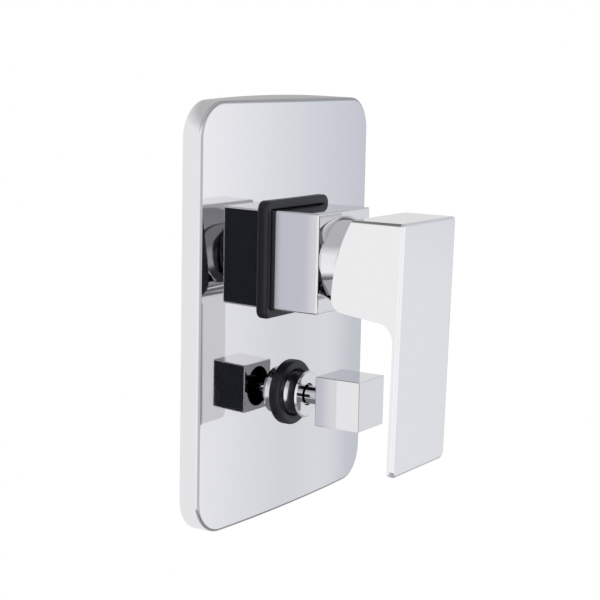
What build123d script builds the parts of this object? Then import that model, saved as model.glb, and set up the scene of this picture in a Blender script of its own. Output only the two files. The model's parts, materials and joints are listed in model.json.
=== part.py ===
# Concealed shower mixer with a square lever handle and a push-pull diverter.
# Millimetres. X is to the right, Y goes into the wall and Z is up. The origin is the
# middle of the cover plate's back plane, so the finished wall is the plane Y = 0.
# Values whose names end in _front are distances from the wall towards the user, and
# values whose names end in _back are distances from the wall into it.
import os
from math import acos, cos, degrees, radians, sin, sqrt

from build123d import *

os.makedirs("parts", exist_ok=True)

# Cover plate
plate_width = 132.6
plate_height = 182.9
plate_corner = 15.0
plate_edge_depth = 9.0
plate_crown = 2.6
plate_bow = 2.2
face_drop = 1.4
face_bow = 0.1
form_spare = 1.0
plate_wall = 2.0
plate_rounding = 1.5
plate_inner_rounding = 0.8
foam_width = 5.0
foam_depth = 3.0

# The two working axes, both square to the wall
mixer_z = 22.4
axis_spacing = 60.8
diverter_z = mixer_z - axis_spacing

# Square sleeve, its gasket and the hole they cover
sleeve_side = 42.5
sleeve_wall = 2.0
sleeve_front = 37.2
sleeve_tail_front = 5.0
sleeve_face_wall = 2.5
sleeve_rounding = 0.8
hole_clearance = 0.3
gasket_width = 4.0
gasket_rise = 2.3
gasket_corner = 3.5
gasket_rounding = 1.3
gasket_groove = 1.3

# Cartridge, a 25 mm ceramic disc unit
cartridge_radius = 12.5
cartridge_clearance = 0.1
cartridge_seat_back = 2.0
base_thickness = 4.0
fixed_disc_radius = 11.2
fixed_disc_thickness = 3.5
moving_disc_radius = 8.0
moving_disc_thickness = 3.0
disc_pocket_radius = 4.0
disc_pocket_depth = 1.5
disc_film = 0.05
carrier_thickness = 3.3
rotor_flange_thickness = 6.0
rotor_neck_radius = 8.0
running_clearance = 0.1
housing_wall = 1.2
housing_neck_radius = 10.0
housing_neck_length = 8.0
port_offset = 5.5
port_radius = 2.4
mixed_port_drop = 7.0
port_ring_section = 1.1

# Lever pivot and spindle
pivot_front = 33.0
lift_angle = 20.0
rotor_above_pivot = 3.2
pin_radius = 1.2
pin_clearance = 0.06
pin_end_gap = 0.3
slot_spare = 0.3
stem_width = 6.0
stem_depth = 5.4
stem_socket_radius = 2.2
stem_past_ball = 1.2
ball_radius = 2.0
tail_radius = 1.4
drive_arm = 8.0
spindle_square = 7.0
spindle_chamfer = 0.6
shank_above_pivot = 5.2
spindle_length_above_pivot = 32.5

# Neck of the body, the nut in it and the domed cap on it
neck_radius = 15.5
neck_front = 27.5
nut_radius = 13.6
nut_hex_radius = 14.8
nut_hex_thickness = 3.2
cap_skirt_wall = 1.8
cap_skirt_length = 17.2
dome_radius = 19.6
dome_wall = 1.8
dome_opening_radius = 11.5

# Lever handle
handle_width = 46.4
handle_top = 20.1
handle_tip = 85.6
handle_front = 78.4
handle_lean = 2.0
handle_top_depth = 24.2
handle_nose_front = 45.0
handle_nose_z = 9.5
handle_waist_front = 47.2
handle_waist_z = 25.0
handle_base_drop = 19.0
handle_base_slope = 2.0
lever_thickness = 2.9
elbow_radius = 8.0
nose_radius = 6.3
handle_cavity_gap = 0.6
handle_edge = 1.5
tip_corner = 3.5
socket_clearance = 0.05
socket_end_gap = 0.5
handle_screw_front = 59.0
handle_screw_radius = 2.5
handle_screw_length = 9.0
cover_radius = 3.2
cover_thickness = 2.4
hex_key_radius = 1.3
hex_key_depth = 3.0

# Diverter
diverter_travel = 10.0
collar_front = 20.6
collar_radius = 10.3
collar_rim = 0.7
collar_waist = 0.9
bush_neck_radius = 6.5
bush_mouth_radius = 5.0
bush_mouth_depth = 2.2
rod_radius = 4.0
rod_clearance = 0.08
bush_hex_radius = 11.8
bush_hex_thickness = 3.0
bush_thread_radius = 9.4
bush_thread_length = 6.0
cage_radius = 8.0
cage_bore_radius = 6.2
cage_length = 6.0
cage_windows = 4
cage_window_width = 5.0
seat_thickness = 2.0
seat_radius = 5.5
washer_radius = 7.6
washer_thickness = 1.2
plunger_thickness = 1.4
seat_gap = 0.1
rod_end_radius = 2.5
plunger_nut_radius = 4.4
plunger_nut_thickness = 3.6
rod_end_spare = 1.0
ring_section_radius = 0.57
ring_proud = 0.04
rod_ring_fronts = (10.0, 13.0)
seal_radius = 14.4
seal_rise = 2.7
seal_floor = 1.4
seal_rounding = 1.4
diverter_hole_radius = 11.2
knob_side = 21.6
knob_gap = 10.2
knob_depth = 21.7
knob_edge = 0.4
knob_recess_radius = 9.0
knob_recess_depth = 10.0
knob_bore_depth = 15.5
knob_screw_radius = 2.0
knob_screw_length = 5.5
knob_key_radius = 1.0

# Valve body, a brass casting
block_radius = 18.5
block_front = 2.0
block_back = 24.0
block_shoulder = 1.0
barrel_radius = 13.0
barrel_front = 4.0
barrel_end_wall = 4.0
rear_chamber_length = 8.0
inlet_back = 13.0
inlet_reach = 44.0
connection_radius = 12.5
pipe_thread_radius = 9.3
pipe_thread_length = 14.0
inlet_bore_radius = 5.0
mixed_bore_radius = 4.5
mixed_barrel_radius = 9.5
riser_bore_radius = 3.6
riser_radius = 8.0
shower_reach = 72.0
shower_boss_length = 26.0
bath_reach = 78.0
bath_back = 12.5
bath_bore_radius = 2.8
flange_width = 76.0
flange_height = 54.0
flange_thickness = 4.0
flange_back = 19.0
flange_corner = 7.0
fixing_spacing_x = 62.0
fixing_spacing_z = 40.0
fixing_hole_radius = 2.6

# Derived places
mixer_axis = Axis((0, 0, mixer_z), (0, 1, 0))
diverter_axis = Axis((0, 0, diverter_z), (0, 1, 0))
mixer_plane = Plane.XY.offset(mixer_z)
diverter_plane = Plane.XY.offset(diverter_z)
pivot = (0, -pivot_front, mixer_z)
face_front = plate_edge_depth + plate_crown

base_front = base_thickness - cartridge_seat_back
fixed_disc_front = base_front + fixed_disc_thickness
moving_disc_back_front = fixed_disc_front + disc_film
carrier_back_front = moving_disc_back_front + moving_disc_thickness
carrier_front = carrier_back_front + carrier_thickness
rotor_back_front = carrier_front + running_clearance
rotor_shoulder_front = rotor_back_front + rotor_flange_thickness
housing_bore = fixed_disc_radius + running_clearance
housing_step_front = rotor_shoulder_front + running_clearance
housing_shoulder_front = housing_step_front + housing_wall
housing_front = housing_shoulder_front + housing_neck_length
rotor_front = pivot_front + rotor_above_pivot
ball_front = pivot_front - drive_arm
slot_half = stem_depth / 2 + drive_arm * radians(lift_angle) + slot_spare

skirt_radius = neck_radius + cap_skirt_wall
dome_base_radius = sqrt(dome_radius**2 - (sleeve_front - pivot_front) ** 2)
handle_cavity_radius = dome_radius + handle_cavity_gap

groove_depth = 2 * ring_section_radius - ring_proud
groove_half_width = ring_section_radius + running_clearance

rod_bore = rod_radius + rod_clearance
cage_back = bush_thread_length - barrel_front
seat_back = cage_back + cage_length + seat_thickness
plunger_back = seat_back + seat_gap
plunger_stack = 2 * washer_thickness + plunger_thickness
rear_seat_back = plunger_back + plunger_stack + diverter_travel + seat_gap
rear_chamber_back = rear_seat_back + rear_chamber_length
middle_chamber_back = (seat_back + rear_seat_back) / 2
riser_back = rear_seat_back + rear_chamber_length / 2
collar_seat_front = face_front + seal_floor
knob_back_front = collar_front + knob_gap


def plate_outline(inset, drop, bow, depth):
    """The outline at a depth in front of the wall, its bowed ends lowered by the drop."""
    half_width = plate_width / 2 - inset
    end_z = plate_height / 2 - inset - drop
    corner_z = end_z - bow
    with BuildSketch(Plane.XZ.offset(depth)) as outline:
        with BuildLine():
            Line((-half_width, -corner_z), (-half_width, corner_z))
            ThreePointArc((-half_width, corner_z), (0, end_z), (half_width, corner_z))
            Line((half_width, corner_z), (half_width, -corner_z))
            ThreePointArc((half_width, -corner_z), (0, -end_z), (-half_width, -corner_z))
        make_face()
        fillet(outline.vertices(), radius=plate_corner - inset)
    return outline.sketch


def crowned_block(inset, rounding):
    """The plate's form as a solid.

    The back outline's ends are bowed and the face's are nearly straight, so the rim slopes in the
    middle of each end. A large cylinder crowns the face from side to side.
    """
    front = face_front - inset
    crown_radius = ((plate_width / 2 - inset) ** 2 + plate_crown**2) / (2 * plate_crown)
    back_outline = plate_outline(inset, 0, plate_bow, 0)
    front_outline = plate_outline(inset, face_drop, face_bow, front + form_spare)
    with BuildPart() as block:
        loft([back_outline, front_outline], ruled=True)
        with Locations((0, crown_radius - front, 0)):
            Cylinder(crown_radius, 2 * plate_height, mode=Mode.INTERSECT)
        fillet(block.faces().sort_by(Axis.Y)[0].edges(), radius=rounding)
    return block.part


def ring_profile(seat_radius_outside, y):
    """The section of an O-ring that stands a little proud of the round face it is let into."""
    with Locations((seat_radius_outside + ring_proud - ring_section_radius, y)):
        Circle(ring_section_radius)


plate_form = crowned_block(0, plate_rounding)
plate_hollow = crowned_block(plate_wall, plate_inner_rounding)

# The cover plate is a hollow shell with a square hole for the sleeve and a round one for the
# diverter, large enough for its collar to pass.
with BuildPart() as cover_plate:
    add(plate_form)
    add(plate_hollow, mode=Mode.SUBTRACT)
    with BuildSketch(Plane.XZ):
        with Locations((0, mixer_z)):
            Rectangle(sleeve_side + 2 * hole_clearance, sleeve_side + 2 * hole_clearance)
        with Locations((0, diverter_z)):
            Circle(diverter_hole_radius)
    extrude(amount=2 * face_front, mode=Mode.SUBTRACT)

# A foam strip inside the rim seals the plate to the tiles.
with BuildPart() as plate_foam_seal:
    extrude(plate_outline(plate_wall, 0, plate_bow, 0), amount=foam_depth)
    add(plate_hollow, mode=Mode.INTERSECT)
    foam_inset = plate_wall + foam_width
    extrude(plate_outline(foam_inset, 0, plate_bow, 0), amount=foam_depth, mode=Mode.SUBTRACT)

# The square sleeve slides over the neck. Its face has a round hole for the cap's skirt.
with BuildPart() as square_sleeve:
    with BuildSketch(Plane.XZ.offset(sleeve_tail_front)):
        with Locations((0, mixer_z)):
            Rectangle(sleeve_side, sleeve_side)
    extrude(amount=sleeve_front - sleeve_tail_front)
    fillet(square_sleeve.edges().filter_by(Axis.Y), radius=sleeve_rounding)
    fillet(square_sleeve.faces().sort_by(Axis.Y)[0].edges(), radius=sleeve_rounding)
    with BuildSketch(Plane.XZ.offset(sleeve_tail_front)):
        with Locations((0, mixer_z)):
            Rectangle(sleeve_side - 2 * sleeve_wall, sleeve_side - 2 * sleeve_wall)
    extrude(amount=sleeve_front - sleeve_face_wall - sleeve_tail_front, mode=Mode.SUBTRACT)
    with BuildSketch(Plane.XZ.offset(sleeve_tail_front)):
        with Locations((0, mixer_z)):
            Circle(skirt_radius + hole_clearance)
    extrude(amount=sleeve_front, mode=Mode.SUBTRACT)

# The rubber gasket grips the sleeve and lies on the crowned face. Its front falls away to a groove
# round the sleeve.
with BuildPart() as sleeve_gasket:
    with BuildSketch(Plane.XZ.offset(plate_edge_depth)):
        with Locations((0, mixer_z)):
            RectangleRounded(
                sleeve_side + 2 * gasket_width, sleeve_side + 2 * gasket_width, gasket_corner
            )
    extrude(amount=plate_crown + gasket_rise)
    fillet(sleeve_gasket.faces().sort_by(Axis.Y)[0].edges(), radius=gasket_rounding)
    add(plate_form, mode=Mode.SUBTRACT)
    with BuildSketch(Plane.XZ):
        with Locations((0, mixer_z)):
            RectangleRounded(sleeve_side, sleeve_side, sleeve_rounding)
    extrude(amount=sleeve_front, mode=Mode.SUBTRACT)
    gasket_face = sleeve_gasket.faces().sort_by(Axis.Y)[0]
    chamfer(gasket_face.inner_wires()[0].edges(), length=gasket_groove)

# The brass valve body: block and neck for the cartridge, inlet arms, diverter barrel, the
# mixed water barrel that joins them, the shower riser behind and the fixing flange.
with BuildPart() as valve_body:
    with BuildSketch(mixer_plane):
        with BuildLine():
            Polyline(
                (0, block_back),
                (block_radius, block_back),
                (block_radius, -block_front),
                (neck_radius, -block_front - block_shoulder),
                (neck_radius, -neck_front),
                (0, -neck_front),
                close=True,
            )
        make_face()
    revolve(axis=mixer_axis)
    with BuildSketch(Plane.YZ):
        with Locations((inlet_back, mixer_z)):
            Circle(connection_radius)
    extrude(amount=inlet_reach, both=True)
    with BuildSketch(Plane.XZ.offset(-rear_chamber_back - barrel_end_wall)):
        with Locations((0, diverter_z)):
            Circle(barrel_radius)
    extrude(amount=rear_chamber_back + barrel_end_wall + barrel_front)
    with BuildSketch(Plane.XY.offset(diverter_z)):
        with Locations((0, middle_chamber_back)):
            Circle(mixed_barrel_radius)
        with Locations((0, riser_back)):
            Circle(riser_radius)
    extrude(amount=axis_spacing)
    with BuildSketch(Plane.XY.offset(mixer_z)):
        with Locations((0, riser_back)):
            Circle(riser_radius)
    extrude(amount=shower_reach - mixer_z)
    with BuildSketch(Plane.XY.offset(shower_reach - shower_boss_length)):
        with Locations((0, riser_back)):
            Circle(connection_radius)
    extrude(amount=shower_boss_length)
    with BuildSketch(Plane.XY.offset(-bath_reach)):
        with Locations((0, bath_back)):
            Circle(connection_radius)
    extrude(amount=bath_reach + diverter_z)
    with BuildSketch(Plane.XZ.offset(-flange_back)):
        with Locations((0, mixer_z)):
            RectangleRounded(flange_width, flange_height, flange_corner)
    extrude(amount=flange_thickness)
    # Fixing holes
    with BuildSketch(Plane.XZ.offset(-flange_back)):
        with Locations((0, mixer_z)):
            with GridLocations(fixing_spacing_x, fixing_spacing_z, 2, 2):
                Circle(fixing_hole_radius)
    extrude(amount=flange_thickness, mode=Mode.SUBTRACT)
    # Cartridge pocket with the nut's thread at its mouth
    with BuildSketch(mixer_plane):
        with BuildLine():
            Polyline(
                (0, cartridge_seat_back),
                (cartridge_radius + cartridge_clearance, cartridge_seat_back),
                (cartridge_radius + cartridge_clearance, -housing_shoulder_front),
                (nut_radius, -housing_shoulder_front),
                (nut_radius, -neck_front),
                (0, -neck_front),
                close=True,
            )
        make_face()
    revolve(axis=mixer_axis, mode=Mode.SUBTRACT)
    # Ports from the pocket's floor, hot on the left, cold on the right and mixed below
    with BuildSketch(Plane.XZ.offset(-inlet_back)):
        with Locations((-port_offset, mixer_z), (port_offset, mixer_z)):
            Circle(port_radius)
    extrude(amount=inlet_back, mode=Mode.SUBTRACT)
    with BuildSketch(Plane.XZ.offset(-middle_chamber_back)):
        with Locations((0, mixer_z - mixed_port_drop)):
            Circle(port_radius)
    extrude(amount=middle_chamber_back, mode=Mode.SUBTRACT)
    # Inlet bores and their pipe threads
    for side in (-1, 1):
        with BuildSketch(Plane.YZ.offset(side * port_offset)):
            with Locations((inlet_back, mixer_z)):
                Circle(inlet_bore_radius)
        extrude(amount=side * (inlet_reach - port_offset), mode=Mode.SUBTRACT)
        with BuildSketch(Plane.YZ.offset(side * (inlet_reach - pipe_thread_length))):
            with Locations((inlet_back, mixer_z)):
                Circle(pipe_thread_radius)
        extrude(amount=side * pipe_thread_length, mode=Mode.SUBTRACT)
    # Mixed water passage down to the diverter
    with BuildSketch(Plane.XY.offset(diverter_z)):
        with Locations((0, middle_chamber_back)):
            Circle(mixed_bore_radius)
    extrude(amount=axis_spacing - mixed_port_drop, mode=Mode.SUBTRACT)
    # Diverter chambers
    with BuildSketch(Plane.XZ.offset(-rear_seat_back)):
        with Locations((0, diverter_z)):
            Circle(bush_thread_radius)
    extrude(amount=rear_seat_back + barrel_front, mode=Mode.SUBTRACT)
    with BuildSketch(Plane.XZ.offset(-rear_chamber_back)):
        with Locations((0, diverter_z)):
            Circle(seat_radius)
    extrude(amount=rear_chamber_length, mode=Mode.SUBTRACT)
    # Shower outlet at the top
    with BuildSketch(Plane.XY.offset(diverter_z)):
        with Locations((0, riser_back)):
            Circle(riser_bore_radius)
    extrude(amount=shower_reach - diverter_z, mode=Mode.SUBTRACT)
    with BuildSketch(Plane.XY.offset(shower_reach - pipe_thread_length)):
        with Locations((0, riser_back)):
            Circle(pipe_thread_radius)
    extrude(amount=pipe_thread_length, mode=Mode.SUBTRACT)
    # Bath outlet at the bottom
    with BuildSketch(Plane.XY.offset(-bath_reach)):
        with Locations((0, cage_back + cage_length / 2)):
            Circle(bath_bore_radius)
    extrude(amount=bath_reach + diverter_z, mode=Mode.SUBTRACT)
    with BuildSketch(Plane.XY.offset(-bath_reach)):
        with Locations((0, bath_back)):
            Circle(pipe_thread_radius)
    extrude(amount=pipe_thread_length, mode=Mode.SUBTRACT)

# The cartridge's base carries the three ports and a ring round each.
port_places = ((-port_offset, mixer_z), (port_offset, mixer_z), (0, mixer_z - mixed_port_drop))
with BuildPart() as cartridge_base:
    with BuildSketch(Plane.XZ.offset(-cartridge_seat_back)):
        with Locations((0, mixer_z)):
            Circle(cartridge_radius)
        with Locations(*port_places):
            Circle(port_radius, mode=Mode.SUBTRACT)
    extrude(amount=base_thickness)
    with BuildSketch(Plane.XZ.offset(-cartridge_seat_back)):
        with Locations(*port_places):
            Circle(port_radius + port_ring_section)
    extrude(amount=port_ring_section, mode=Mode.SUBTRACT)

with BuildPart() as cartridge_seals:
    with BuildSketch(Plane.XZ.offset(-cartridge_seat_back)):
        with Locations(*port_places):
            Circle(port_radius + port_ring_section)
            Circle(port_radius, mode=Mode.SUBTRACT)
    extrude(amount=port_ring_section)

with BuildPart() as fixed_disc:
    with BuildSketch(Plane.XZ.offset(base_front)):
        with Locations((0, mixer_z)):
            Circle(fixed_disc_radius)
        with Locations(*port_places):
            Circle(port_radius, mode=Mode.SUBTRACT)
    extrude(amount=fixed_disc_thickness)

with BuildPart() as cartridge_housing:
    with BuildSketch(mixer_plane):
        with BuildLine():
            Polyline(
                (housing_bore, -base_front),
                (cartridge_radius, -base_front),
                (cartridge_radius, -housing_shoulder_front),
                (housing_neck_radius, -housing_shoulder_front),
                (housing_neck_radius, -housing_front),
                (rotor_neck_radius + running_clearance, -housing_front),
                (rotor_neck_radius + running_clearance, -housing_step_front),
                (housing_bore, -housing_step_front),
                close=True,
            )
        make_face()
    revolve(axis=mixer_axis)

# The moving disc has a pocket that links the ports, and the carrier drives it.
with BuildPart() as moving_disc:
    with BuildSketch(Plane.XZ.offset(moving_disc_back_front)):
        with Locations((0, mixer_z)):
            Circle(moving_disc_radius)
    extrude(amount=moving_disc_thickness)
    with BuildSketch(Plane.XZ.offset(moving_disc_back_front)):
        with Locations((0, mixer_z - port_radius)):
            Circle(disc_pocket_radius)
    extrude(amount=disc_pocket_depth, mode=Mode.SUBTRACT)

with BuildPart() as disc_carrier:
    with BuildSketch(Plane.XZ.offset(carrier_back_front)):
        with Locations((0, mixer_z)):
            Circle(moving_disc_radius)
    extrude(amount=carrier_thickness)
    with BuildSketch(Plane.XZ.offset(carrier_front)):
        with Locations((0, mixer_z)):
            Rectangle(stem_width, stem_depth)
    extrude(amount=ball_front + stem_past_ball - carrier_front)
    with BuildSketch(Plane.XZ.offset(ball_front - ball_radius - stem_past_ball)):
        with Locations((0, mixer_z)):
            Circle(stem_socket_radius)
    extrude(amount=ball_radius + 2 * stem_past_ball, mode=Mode.SUBTRACT)

# The rotor turns in the housing. The carrier's stem slides in its slot and the lever pivots in it.
rotor_ring_front = housing_shoulder_front + housing_neck_length / 2
with BuildPart() as cartridge_rotor:
    with BuildSketch(mixer_plane):
        with BuildLine():
            Polyline(
                (0, -rotor_back_front),
                (fixed_disc_radius, -rotor_back_front),
                (fixed_disc_radius, -rotor_shoulder_front),
                (rotor_neck_radius, -rotor_shoulder_front),
                (rotor_neck_radius, groove_half_width - rotor_ring_front),
                (rotor_neck_radius - groove_depth, groove_half_width - rotor_ring_front),
                (rotor_neck_radius - groove_depth, -groove_half_width - rotor_ring_front),
                (rotor_neck_radius, -groove_half_width - rotor_ring_front),
                (rotor_neck_radius, -rotor_front),
                (0, -rotor_front),
                close=True,
            )
        make_face()
    revolve(axis=mixer_axis)
    with BuildSketch(Plane.XZ.offset(rotor_back_front)):
        with Locations((0, mixer_z)):
            Rectangle(stem_width + 2 * running_clearance, 2 * slot_half)
    extrude(amount=rotor_front, mode=Mode.SUBTRACT)
    with BuildSketch(Plane.YZ):
        with Locations((-pivot_front, mixer_z)):
            Circle(pin_radius)
    extrude(amount=rotor_neck_radius, both=True, mode=Mode.SUBTRACT)

with BuildPart() as rotor_o_ring:
    with BuildSketch(mixer_plane):
        ring_profile(rotor_neck_radius, -rotor_ring_front)
    revolve(axis=mixer_axis)

with BuildPart() as pivot_pin:
    with BuildSketch(Plane.YZ):
        with Locations((-pivot_front, mixer_z)):
            Circle(pin_radius)
    extrude(amount=rotor_neck_radius - pin_end_gap, both=True)

# The nut holds the cartridge down in the neck.
with BuildPart() as cartridge_nut:
    with BuildSketch(Plane.XZ.offset(housing_shoulder_front)):
        with Locations((0, mixer_z)):
            Circle(nut_radius)
    extrude(amount=neck_front + running_clearance - housing_shoulder_front)
    with BuildSketch(Plane.XZ.offset(neck_front + running_clearance)):
        with Locations((0, mixer_z)):
            RegularPolygon(nut_hex_radius, 6)
    extrude(amount=nut_hex_thickness)
    with BuildSketch(Plane.XZ.offset(housing_shoulder_front)):
        with Locations((0, mixer_z)):
            Circle(housing_neck_radius + running_clearance)
    extrude(amount=neck_front, mode=Mode.SUBTRACT)

# The domed cap screws on the neck and clamps the sleeve. Its dome is centred on the lever's pivot.
def dome_point(radius, angle):
    """A point of a circle about the pivot, at an angle in degrees forward of the pivot's plane."""
    return (radius * cos(radians(angle)), -pivot_front - radius * sin(radians(angle)))


def dome_angle(radius, across):
    """The angle at which a circle about the pivot is a distance from the axis."""
    return degrees(acos(across / radius))


dome_inner = dome_radius - dome_wall
base_angle = dome_angle(dome_radius, dome_base_radius)
rim_angle = dome_angle(dome_radius, dome_opening_radius)
inner_rim_angle = dome_angle(dome_inner, dome_opening_radius)
inner_base_angle = dome_angle(dome_inner, neck_radius)
with BuildPart() as dome_cap:
    with BuildSketch(mixer_plane):
        with BuildLine():
            Polyline(
                dome_point(dome_inner, inner_base_angle),
                (neck_radius, cap_skirt_length - sleeve_front),
                (skirt_radius, cap_skirt_length - sleeve_front),
                (skirt_radius, -sleeve_front),
                (dome_base_radius, -sleeve_front),
            )
            ThreePointArc(
                dome_point(dome_radius, base_angle),
                dome_point(dome_radius, (base_angle + rim_angle) / 2),
                dome_point(dome_radius, rim_angle),
            )
            Line(dome_point(dome_radius, rim_angle), dome_point(dome_inner, inner_rim_angle))
            ThreePointArc(
                dome_point(dome_inner, inner_rim_angle),
                dome_point(dome_inner, (inner_rim_angle + inner_base_angle) / 2),
                dome_point(dome_inner, inner_base_angle),
            )
        make_face()
    revolve(axis=mixer_axis)

# The spindle: a square shank for the handle, a flat web in the rotor's slot, and a thin tail
# whose ball drives the carrier.
with BuildPart() as cartridge_spindle:
    with BuildSketch(Plane.XZ.offset(pivot_front + shank_above_pivot)):
        with Locations((0, mixer_z)):
            Rectangle(spindle_square, spindle_square)
    extrude(amount=spindle_length_above_pivot - shank_above_pivot)
    chamfer(cartridge_spindle.faces().sort_by(Axis.Y)[0].edges(), length=spindle_chamfer)
    with BuildSketch(Plane.XZ.offset(pivot_front - rotor_above_pivot)):
        with Locations((0, mixer_z)):
            Rectangle(stem_width, spindle_square)
    extrude(amount=shank_above_pivot + rotor_above_pivot)
    with BuildSketch(Plane.XZ.offset(ball_front)):
        with Locations((0, mixer_z)):
            Circle(tail_radius)
    extrude(amount=drive_arm)
    with Locations((0, -ball_front, mixer_z)):
        Sphere(ball_radius)
    with BuildSketch(Plane.YZ):
        with Locations((-pivot_front, mixer_z)):
            Circle(pin_radius + pin_clearance)
    extrude(amount=spindle_square, both=True, mode=Mode.SUBTRACT)

# The lever handle is one casting: a block over the dome, and a thin plate that hangs from its face.
handle_top_z = mixer_z + handle_top
handle_tip_z = handle_top_z - handle_top - handle_tip
handle_tip_front = handle_front - handle_lean
lean_slope = handle_lean / (handle_top + handle_tip)
handle_base_z = mixer_z - handle_base_drop
elbow_z = handle_base_z - handle_base_slope - elbow_radius
elbow_front = handle_front - lean_slope * (handle_top_z - elbow_z) - lever_thickness
arc_share = cos(radians(45))
nose_base_front = handle_nose_front + nose_radius
with BuildPart() as lever_handle:
    with BuildSketch(Plane.YZ):
        with BuildLine():
            Polyline(
                (-handle_front + handle_top_depth, handle_top_z),
                (-handle_front, handle_top_z),
                (-handle_tip_front, handle_tip_z),
                (-handle_tip_front + lever_thickness, handle_tip_z),
                (-elbow_front, elbow_z),
            )
            ThreePointArc(
                (-elbow_front, elbow_z),
                (
                    elbow_radius * (1 - arc_share) - elbow_front,
                    elbow_z + elbow_radius * arc_share,
                ),
                (elbow_radius - elbow_front, elbow_z + elbow_radius),
            )
            Line(
                (elbow_radius - elbow_front, elbow_z + elbow_radius),
                (-nose_base_front, handle_base_z),
            )
            ThreePointArc(
                (-nose_base_front, handle_base_z),
                (
                    nose_radius * arc_share - nose_base_front,
                    handle_nose_z - (handle_nose_z - handle_base_z) * arc_share,
                ),
                (-handle_nose_front, handle_nose_z),
            )
            ThreePointArc(
                (-handle_nose_front, handle_nose_z),
                (-handle_waist_front, handle_waist_z),
                (-handle_front + handle_top_depth, handle_top_z),
            )
        make_face()
    extrude(amount=handle_width / 2, both=True)
    fillet(lever_handle.edges().filter_by(Axis.Y).group_by(Axis.Z)[0], radius=tip_corner)
    fillet(lever_handle.edges().filter_by(Axis.Y).group_by(Axis.Z)[-1], radius=handle_edge)
    fillet(lever_handle.faces().sort_by(Axis.Y)[0].edges(), radius=handle_edge)
    with Locations(pivot):
        Sphere(handle_cavity_radius, mode=Mode.SUBTRACT)
    with BuildSketch(Plane.XZ.offset(pivot_front)):
        with Locations((0, mixer_z)):
            Rectangle(spindle_square + 2 * socket_clearance, spindle_square + 2 * socket_clearance)
    extrude(amount=spindle_length_above_pivot + socket_end_gap, mode=Mode.SUBTRACT)
    with BuildSketch(Plane.XY.offset(handle_tip_z)):
        with Locations((0, -handle_screw_front)):
            Circle(handle_screw_radius)
    extrude(amount=mixer_z - handle_tip_z, mode=Mode.SUBTRACT)
    with BuildSketch(Plane.XY.offset(handle_tip_z)):
        with Locations((0, -handle_screw_front)):
            Circle(cover_radius)
    extrude(amount=handle_base_z - handle_tip_z + cover_thickness, mode=Mode.SUBTRACT)

screw_end_z = mixer_z - spindle_square / 2
with BuildPart() as handle_grub_screw:
    with BuildSketch(Plane.XY.offset(screw_end_z - handle_screw_length)):
        with Locations((0, -handle_screw_front)):
            Circle(handle_screw_radius)
    extrude(amount=handle_screw_length)
    with BuildSketch(Plane.XY.offset(screw_end_z - handle_screw_length)):
        with Locations((0, -handle_screw_front)):
            RegularPolygon(hex_key_radius, 6)
    extrude(amount=hex_key_depth, mode=Mode.SUBTRACT)

cover_top_z = handle_base_z + cover_thickness
with BuildPart() as screw_cover:
    with BuildSketch(Plane.XY.offset(cover_top_z - cover_thickness)):
        with Locations((0, -handle_screw_front)):
            Circle(cover_radius)
    extrude(amount=cover_thickness)
    with BuildSketch(Plane.XY.offset(cover_top_z)):
        with Locations((0, -handle_screw_front)):
            Circle(handle_screw_radius)
    extrude(amount=cover_thickness)

# The diverter's bush: a waisted chrome collar outside that presses on the seal, a spanner hexagon and
# thread inside, and a cage with windows whose end is the bath seat.
with BuildPart() as diverter_bush:
    with BuildSketch(diverter_plane):
        with BuildLine():
            Polyline(
                (collar_radius, -collar_seat_front),
                (bush_neck_radius, -collar_seat_front),
                (bush_neck_radius, -barrel_front),
                (bush_thread_radius, -barrel_front),
                (bush_thread_radius, cage_back),
                (cage_radius, cage_back),
                (cage_radius, cage_back + cage_length),
                (bush_thread_radius, cage_back + cage_length),
                (bush_thread_radius, seat_back),
                (seat_radius, seat_back),
                (seat_radius, cage_back + cage_length),
                (cage_bore_radius, cage_back + cage_length),
                (cage_bore_radius, cage_back),
                (rod_bore, cage_back),
                (rod_bore, bush_mouth_depth - collar_front),
                (bush_mouth_radius, bush_mouth_depth - collar_front),
                (bush_mouth_radius, -collar_front),
                (collar_radius - collar_rim, -collar_front),
                (collar_radius, collar_rim - collar_front),
            )
            ThreePointArc(
                (collar_radius, collar_rim - collar_front),
                (collar_radius - collar_waist, (collar_rim - collar_front - collar_seat_front) / 2),
                (collar_radius, -collar_seat_front),
            )
        make_face()
    revolve(axis=diverter_axis)
    with BuildSketch(Plane.XZ.offset(barrel_front)):
        with Locations((0, diverter_z)):
            RegularPolygon(bush_hex_radius, 6)
            Circle(bush_neck_radius, mode=Mode.SUBTRACT)
    extrude(amount=bush_hex_thickness)
    with BuildSketch(Plane.XZ.offset(-cage_back - cage_length)):
        with Locations((0, diverter_z)):
            with PolarLocations(0, cage_windows):
                Rectangle(2 * cage_radius, cage_window_width, align=(Align.MIN, Align.CENTER))
    extrude(amount=cage_length, mode=Mode.SUBTRACT)

# The rubber seal sits on the neck behind the collar and covers the plate's hole. The collar sits in a
# shallow recess of it.
with BuildPart() as diverter_seal:
    with BuildSketch(Plane.XZ.offset(plate_edge_depth)):
        with Locations((0, diverter_z)):
            Circle(seal_radius)
    extrude(amount=plate_crown + seal_rise)
    fillet(diverter_seal.faces().sort_by(Axis.Y)[0].edges(), radius=seal_rounding)
    add(plate_form, mode=Mode.SUBTRACT)
    with BuildSketch(Plane.XZ.offset(face_front - plate_wall)):
        with Locations((0, diverter_z)):
            Circle(diverter_hole_radius)
    extrude(amount=plate_wall + seal_floor / 2)
    with BuildSketch(Plane.XZ.offset(collar_seat_front)):
        with Locations((0, diverter_z)):
            Circle(collar_radius + hole_clearance)
    extrude(amount=seal_rise, mode=Mode.SUBTRACT)
    with BuildSketch(Plane.XZ):
        with Locations((0, diverter_z)):
            Circle(bush_neck_radius)
    extrude(amount=collar_front, mode=Mode.SUBTRACT)

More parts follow.
